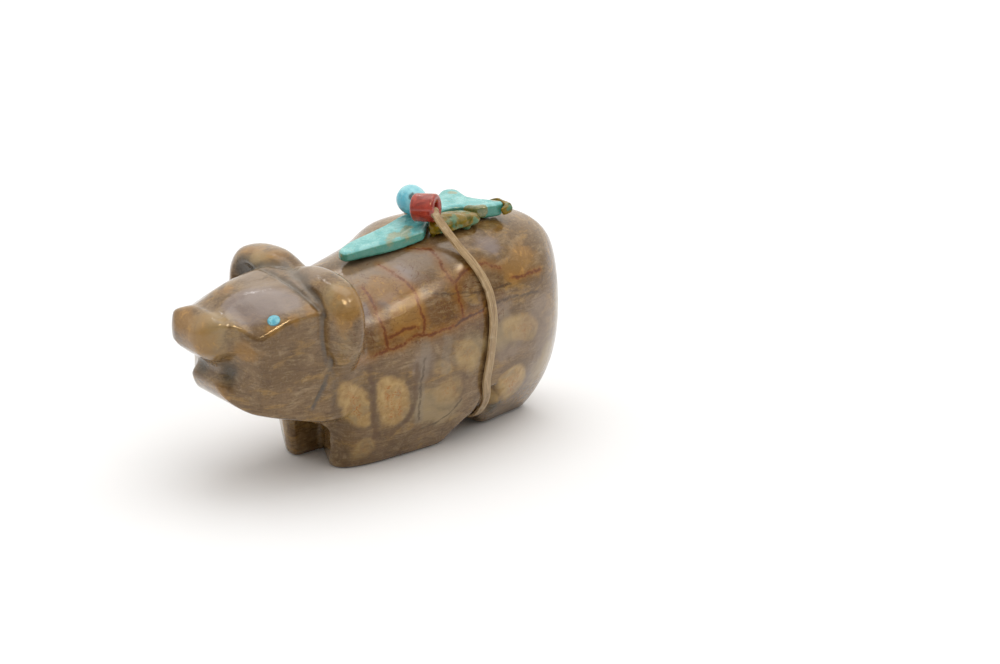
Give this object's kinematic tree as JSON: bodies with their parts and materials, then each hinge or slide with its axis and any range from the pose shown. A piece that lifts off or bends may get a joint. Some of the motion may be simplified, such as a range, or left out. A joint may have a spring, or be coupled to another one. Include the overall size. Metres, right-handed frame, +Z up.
{
  "type": "zuni fetish",
  "caption": "Carved stone bear fetish standing on its own feet, with a turquoise arrowhead, a turquoise bead and a coral bead tied to its back with sinew",
  "frame": {"origin": "middle of the bounding box in plan, at the level of the soles", "axes": "+Z up; the bear's nose points to -X, its left flank to -Y"},
  "size_m": [0.0642, 0.0294, 0.0364],
  "materials": {
    "picture_stone": "polished",
    "eye_turquoise": "polished",
    "green_turquoise": "polished",
    "sky_turquoise": "polished",
    "red_coral": "polished",
    "sinew": "waxed",
    "dried_glue": "glossy"
  },
  "bodies": {
    "root": {"bear": "picture_stone", "eye_left": "eye_turquoise", "eye_right": "eye_turquoise", "arrowhead": "green_turquoise", "turquoise_bead": "sky_turquoise", "coral_bead": "red_coral", "sinew_tie": "sinew", "glue_notch": "dried_glue", "glue_end": "dried_glue"}
  },
  "joints": []
}
